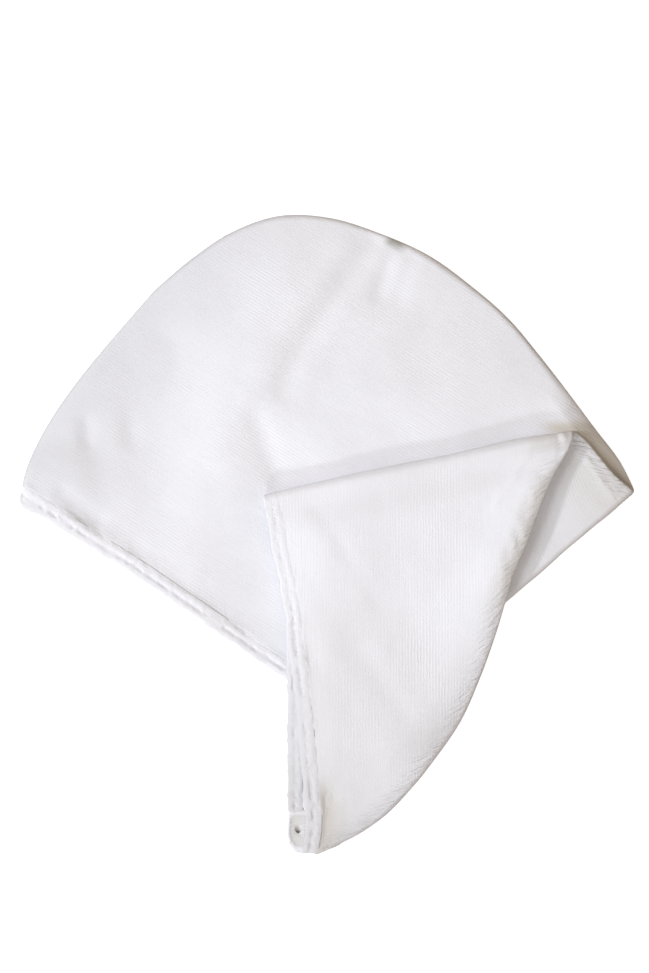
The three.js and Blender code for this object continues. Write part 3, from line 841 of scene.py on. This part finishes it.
def cloth_material(
    name, colour, shade, rib_pitch, rib_depth, nap, streak, gather, seam_from=0.0, painted_shade_parts=()
):
    """Ribbed short-napped microfiber, its ribs along the pattern's s, gathered at hem and seam, with
    painted shade mixed into its colour where listed.
    """
    m = bpy.data.materials.new(name)
    m.use_nodes = True
    tree = m.node_tree
    tree.nodes.clear()
    new = tree.nodes.new
    out = new("ShaderNodeOutputMaterial")
    shader = new("ShaderNodeBsdfPrincipled")
    shader.inputs["Roughness"].default_value = 0.92
    shader.inputs["Sheen Weight"].default_value = 0.08
    shader.inputs["Sheen Roughness"].default_value = 0.5
    shader.inputs["Specular IOR Level"].default_value = 0.25
    uv = new("ShaderNodeUVMap")
    uv.uv_map = "pattern"

    def mapped(sx, sy, ox=0.0, turn=0.0):
        node = new("ShaderNodeMapping")
        node.inputs["Rotation"].default_value = (0, 0, turn)
        node.inputs["Scale"].default_value = (sx, sy, 1)
        node.inputs["Location"].default_value = (ox, ox * 0.37, 0)
        tree.links.new(uv.outputs["UV"], node.inputs["Vector"])
        return node.outputs["Vector"]

    def noise_node(vector, scale, detail, rough=0.5):
        node = new("ShaderNodeTexNoise")
        node.noise_dimensions = "2D"
        node.inputs["Scale"].default_value = scale
        node.inputs["Detail"].default_value = detail
        node.inputs["Roughness"].default_value = rough
        tree.links.new(vector, node.inputs["Vector"])
        return node.outputs["Fac"]

    def maths(operation, a, b=None, c=None):
        node = new("ShaderNodeMath")
        node.operation = operation
        for n, value in enumerate((a, b, c)):
            if value is None:
                continue
            if isinstance(value, (int, float)):
                node.inputs[n].default_value = value
            else:
                tree.links.new(value, node.inputs[n])
        return node.outputs[0]

    split = new("ShaderNodeSeparateXYZ")
    tree.links.new(uv.outputs["UV"], split.inputs[0])
    wander = maths("MULTIPLY_ADD", noise_node(mapped(60, 160), 1.0, 3.0), 1.6, split.outputs["X"])
    rib_at = maths("MULTIPLY", split.outputs["Y"], 2 * math.pi / rib_pitch)
    rib = maths("SINE", maths("MULTIPLY_ADD", wander, 2.6, rib_at))
    rib = maths("MULTIPLY_ADD", rib, 0.5, 0.5)
    beads = noise_node(mapped(700, 1500), 1.0, 2.0)
    fuzz = noise_node(mapped(1900, 2600, 3.1), 1.0, 2.0, 0.65)
    streaks = noise_node(mapped(45, 420, 7.7), 1.0, 3.0, 0.6)
    patches = noise_node(mapped(16, 22, 11.3), 1.0, 2.0, 0.5)
    rib_here = maths("MULTIPLY", rib, maths("MULTIPLY_ADD", patches, 2.2, -0.75))
    height = maths("MULTIPLY_ADD", rib_here, rib_depth, maths("MULTIPLY", beads, 0.5))
    height = maths("MULTIPLY_ADD", fuzz, nap, height)
    height = maths("MULTIPLY_ADD", streaks, streak, height)
    # gathers across the hem and beside it, and slanting ones beside the seam
    beside = new("ShaderNodeUVMap")
    beside.uv_map = "beside"
    near = new("ShaderNodeSeparateXYZ")
    tree.links.new(beside.outputs["UV"], near.inputs[0])

    def fading(distance, reach):
        node = new("ShaderNodeMapRange")
        node.interpolation_type = "SMOOTHSTEP"
        node.inputs["From Max"].default_value = reach
        node.inputs["To Min"].default_value = 1.0
        node.inputs["To Max"].default_value = 0.0
        tree.links.new(distance, node.inputs["Value"])
        return node.outputs["Result"]

    puckers = noise_node(mapped(330, 230, 5.3), 1.0, 2.0, 0.6)
    at_hem = maths("MULTIPLY", fading(near.outputs["X"], 0.013), puckers)
    wrinkles = noise_node(mapped(55, 330, 2.3), 1.0, 1.5)
    along_hem = maths("MULTIPLY", fading(near.outputs["X"], 0.022), wrinkles)
    slant_at = new("ShaderNodeCombineXYZ")
    twist = maths("MULTIPLY", near.outputs["Y"], -450.0)
    twist = maths("MULTIPLY_ADD", split.outputs["X"], 300.0, twist)
    twist = maths("MULTIPLY_ADD", split.outputs["Y"], -150.0, twist)
    tree.links.new(twist, slant_at.inputs["X"])
    tree.links.new(maths("MULTIPLY", near.outputs["Y"], 110.0), slant_at.inputs["Y"])
    slanting = noise_node(slant_at.outputs["Vector"], 1.0, 3.0, 0.6)
    at_seam = maths("MULTIPLY", fading(near.outputs["Y"], 0.018), slanting)
    started = new("ShaderNodeMapRange")
    started.interpolation_type = "SMOOTHSTEP"
    started.inputs["From Min"].default_value = seam_from
    started.inputs["From Max"].default_value = seam_from + 0.03
    tree.links.new(split.outputs["X"], started.inputs["Value"])
    at_seam = maths("MULTIPLY", at_seam, started.outputs["Result"])
    height = maths("MULTIPLY_ADD", at_hem, gather, height)
    height = maths("MULTIPLY_ADD", along_hem, 0.5 * gather, height)
    height = maths("MULTIPLY_ADD", at_seam, 6.0 * gather, height)
    bump = new("ShaderNodeBump")
    bump.inputs["Strength"].default_value = 1.0
    bump.inputs["Distance"].default_value = 0.0003
    link_chain(
        tree,
        (height, bump.inputs["Height"]),
        (bump.outputs["Normal"], shader.inputs["Normal"]),
    )
    tone = maths("MULTIPLY_ADD", rib_here, 0.35, maths("MULTIPLY", fuzz, 0.45))
    tone = maths("MULTIPLY_ADD", streaks, 0.3, tone)
    tone = maths("MULTIPLY_ADD", patches, 0.35, tone)
    ramp = new("ShaderNodeMapRange")
    ramp.inputs["From Min"].default_value = 0.3
    ramp.inputs["From Max"].default_value = 1.0
    tree.links.new(tone, ramp.inputs["Value"])
    mix = new("ShaderNodeMix")
    mix.data_type = "RGBA"
    mix.inputs["A"].default_value = (*shade, 1)
    mix.inputs["B"].default_value = (*colour, 1)
    link_chain(
        tree,
        (ramp.outputs["Result"], mix.inputs["Factor"]),
        (mix.outputs["Result"], shader.inputs["Base Color"]),
        (shader.outputs["BSDF"], out.inputs["Surface"]),
    )
    sources = {
        "s": split.outputs["X"],
        "hem": near.outputs["X"],
        "seam": near.outputs["Y"],
        "aslant": maths("ADD", split.outputs["X"], near.outputs["Y"]),
    }

    def rising(source, low, high):
        node = new("ShaderNodeMapRange")
        node.interpolation_type = "SMOOTHSTEP"
        node.inputs["From Min"].default_value = low
        node.inputs["From Max"].default_value = high
        tree.links.new(sources[source], node.inputs["Value"])
        return node.outputs["Result"]

    latest = mix
    # painted shade: each listed part mixes its darker colour over the cloth's own between its given
    # distances
    for painted_shade_colour, *terms in painted_shade_parts:
        share = rising(*terms[0])
        for term in terms[1:]:
            share = maths("MULTIPLY", share, rising(*term))
        painted_shade = new("ShaderNodeMix")
        painted_shade.data_type = "RGBA"
        painted_shade.inputs["B"].default_value = (*painted_shade_colour, 1)
        link_chain(
            tree,
            (share, painted_shade.inputs["Factor"]),
            (latest.outputs["Result"], painted_shade.inputs["A"]),
            (painted_shade.outputs["Result"], shader.inputs["Base Color"]),
        )
        latest = painted_shade
    return m


def worn(piece, material):
    piece.data.materials.append(material)


CLOTH_LIGHT, CLOTH_SHADE = (0.88, 0.878, 0.918), (0.80, 0.798, 0.832)
# Painted shade: a darker colour standing in for shading and shadows on the cloth, and the distances in
# metres between which it fades in
front_weave = cloth_material(
    "microfiber_front", CLOTH_LIGHT, CLOTH_SHADE, 0.0019, 0.28, 0.45, 0.35, 1.0, 0.37,
    [
        # painted shade: the hood darker towards the nape, standing in for the light falling off there
        ((0.73, 0.729, 0.762), ("s", 0.09, -0.02)),
        # painted shade on the flap beside its hem towards the tip
        ((0.70, 0.69, 0.70), ("s", 0.42, 0.6), ("hem", 0.045, 0.0)),
        # painted shadow in the crease beside the hem near the tip
        ((0.60, 0.575, 0.55), ("s", 0.585, 0.612), ("hem", 0.018, 0.002)),
        # painted shadow on the strip of hood between the flap's upper corner and the seam
        ((0.67, 0.63, 0.57), ("aslant", 0.271, 0.279), ("s", 0.4, 0.34), ("seam", 0.03, 0.018)),
        # painted shade along the flap's free edge beside the seam
        ((0.72, 0.70, 0.69), ("s", 0.385, 0.415), ("s", 0.51, 0.46), ("seam", 0.016, 0.002)),
        # painted shadow in the gather at the seam's notch on the crown
        ((0.42, 0.41, 0.38), ("s", 0.104, 0.11), ("s", 0.123, 0.114), ("seam", 0.008, 0.001)),
    ],
)
back_weave = cloth_material(
    "microfiber_back", CLOTH_LIGHT, CLOTH_SHADE, 0.0019, 0.28, 0.45, 0.35, 1.0, 0.3,
    # painted shade on the turned-over back panel near its corner at the seam
    [((0.74, 0.725, 0.725), ("s", 0.375, 0.34), ("seam", 0.05, 0.008))],
)
hem_cloth = cloth_material(
    "gathered_microfiber", (0.88, 0.876, 0.915), (0.785, 0.781, 0.812), 0.0017, 0.06, 0.65, 0.3, 1.5, 1.0,
    # painted shade on the hem along the flap towards the tip
    [((0.68, 0.672, 0.69), ("s", 0.44, 0.6))],
)
loop_cloth = cloth_material(
    "loop_band", (0.85, 0.846, 0.875), (0.76, 0.755, 0.78), 0.0012, 0.5, 0.4, 0.2, 0.0, 1.0,
    # painted shade in the loop's recess and on the walls of its hole
    [((0.70, 0.685, 0.68), ("hem", 0.002, 0.008))],
)
thread = cloth_material("thread", (0.88, 0.88, 0.91), (0.78, 0.78, 0.8), 0.0006, 0.6, 0.2, 0.1, 0.0)


def button_material():
    m = bpy.data.materials.new("button_plastic")
    m.use_nodes = True
    tree = m.node_tree
    shader = tree.nodes["Principled BSDF"]
    shader.inputs["Roughness"].default_value = 0.38
    coat = tree.nodes.new("ShaderNodeTexNoise")
    coat.inputs["Scale"].default_value = 260.0
    ramp = tree.nodes.new("ShaderNodeMix")
    ramp.data_type = "RGBA"
    ramp.inputs["A"].default_value = (0.80, 0.79, 0.76, 1)
    ramp.inputs["B"].default_value = (0.88, 0.87, 0.84, 1)
    tree.links.new(coat.outputs["Fac"], ramp.inputs["Factor"])
    tree.links.new(ramp.outputs["Result"], shader.inputs["Base Color"])
    return m


# Pieces
front = panel("front", "front_cloth")
back = panel("back", "back_cloth")
front_end = RIM_LENGTH - LOOP_INSET
back_end = LOOP_START + 2.5
front_hem = rim("front", "front_hem", front_end)
back_hem = rim("back", "back_hem", back_end)
front_thread = stitches("front", "front_stitches", front_end)
back_thread = stitches("back", "back_stitches", back_end)
loop = fastening_loop("tip_loop")
disc = button("nape_button")

worn(front, front_weave)
worn(back, back_weave)
worn(front_hem, hem_cloth)
worn(back_hem, hem_cloth)
worn(front_thread, thread)
worn(back_thread, thread)
worn(loop, loop_cloth)
worn(disc, button_material())

for piece, node, slot in (
    (front, "front_panel", "cloth"),
    (back, "back_panel", "cloth"),
    (front_hem, "front_rim", "hem"),
    (back_hem, "back_rim", "hem"),
    (loop, "fastening_loop", "loop"),
    (disc, "button", "button"),
):
    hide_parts(node)
    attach(piece, "root")
for piece in (front_thread, back_thread):
    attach(piece, "root")

steps = np.linspace(0, TAIL_END, 400)
flat_area = float((seam_edge(steps) - opening_edge(steps)).mean()) * TAIL_END / 1e6

# Floor, light and camera
floor_data = bpy.data.meshes.new("floor")
floor_data.from_pydata([(-3, -3, 0), (3, -3, 0), (3, 3, 0), (-3, 3, 0)], [], [(0, 1, 2, 3)])
floor = bpy.data.objects.new("floor", floor_data)
floor.location.z = -0.0002
bpy.context.scene.collection.objects.link(floor)
floor_look = bpy.data.materials.new("floor")
floor_look.use_nodes = True
floor_shader = floor_look.node_tree.nodes["Principled BSDF"]
floor_shader.inputs["Base Color"].default_value = (0.8, 0.8, 0.8, 1)
floor_shader.inputs["Roughness"].default_value = 1.0
floor_shader.inputs["Specular IOR Level"].default_value = 0.0
floor_shader.inputs["Emission Color"].default_value = (0.97, 1.0, 1.05, 1)
floor_shader.inputs["Emission Strength"].default_value = 0.72
floor_data.materials.append(floor_look)
floor.visible_diffuse = False

MIDDLE = Vector((-0.0016, 0.0297, 0.0))


def lamp(name, azimuth, elevation, distance, size, power, colour):
    """A square soft light towards the towel. Azimuth is counted from +X towards +Y."""
    data = bpy.data.lights.new(name, "AREA")
    data.shape = "DISK"
    data.size = size
    data.energy = power
    data.color = colour
    light = bpy.data.objects.new(name, data)
    a, e = math.radians(azimuth), math.radians(elevation)
    away = Vector((math.cos(a) * math.cos(e), math.sin(a) * math.cos(e), math.sin(e)))
    light.location = MIDDLE + away * distance
    light.rotation_mode = "QUATERNION"
    light.rotation_quaternion = away.to_track_quat("Z", "Y")
    bpy.context.scene.collection.objects.link(light)
    return light


COOL = (0.955, 1.005, 1.09)
lamp("front", 256, 36, 4.5, 0.5, 38, COOL)
lamp("key", 178, 46, 4.5, 0.6, 65.5, COOL)
lamp("top", 182, 70, 0.9, 0.3, 1.9, COOL).visible_camera = False


def room(strength):
    """Even light that is brightest above and at the lower left, and dim and warm opposite."""
    world = bpy.data.worlds.new("studio")
    bpy.context.scene.world = world
    world.use_nodes = True
    tree = world.node_tree
    backdrop = tree.nodes["Background"]
    backdrop.inputs["Strength"].default_value = strength
    place = tree.nodes.new("ShaderNodeTexCoord")
    towards = tree.nodes.new("ShaderNodeVectorMath")
    towards.operation = "DOT_PRODUCT"
    towards.inputs[1].default_value = (-0.74, -0.3, 0.6)
    share = tree.nodes.new("ShaderNodeMapRange")
    share.inputs["From Min"].default_value = -1.0
    share.inputs["From Max"].default_value = 1.0
    ramp = tree.nodes.new("ShaderNodeValToRGB")
    stops = ramp.color_ramp.elements
    stops[0].position, stops[0].color = 0.0, (0.36, 0.24, 0.13, 1)
    stops[1].position, stops[1].color = 1.0, (1.0, 0.96, 0.9, 1)
    for position, colour in ((0.42, (0.42, 0.31, 0.2, 1)), (0.66, (0.86, 0.8, 0.72, 1))):
        stops.new(position).color = colour
    tree.links.new(place.outputs["Generated"], towards.inputs[0])
    tree.links.new(towards.outputs["Value"], share.inputs["Value"])
    tree.links.new(share.outputs["Result"], ramp.inputs["Fac"])
    tree.links.new(ramp.outputs["Color"], backdrop.inputs["Color"])


room(0.64)

camera_data = bpy.data.cameras.new("camera")
camera = bpy.data.objects.new("camera", camera_data)
bpy.context.scene.collection.objects.link(camera)
FRAME_HEIGHT = 0.6081
CAMERA_HEIGHT = 3.0
camera_data.sensor_width = 36.0
camera_data.lens = 36.0 * CAMERA_HEIGHT / FRAME_HEIGHT
camera_data.clip_start = 0.05
camera_data.clip_end = 20
camera.location = MIDDLE + Vector((0, 0, CAMERA_HEIGHT + 0.012))
camera.rotation_euler = (0, 0, 0)
bpy.context.scene.camera = camera
bpy.context.scene.view_settings.view_transform = "Standard"
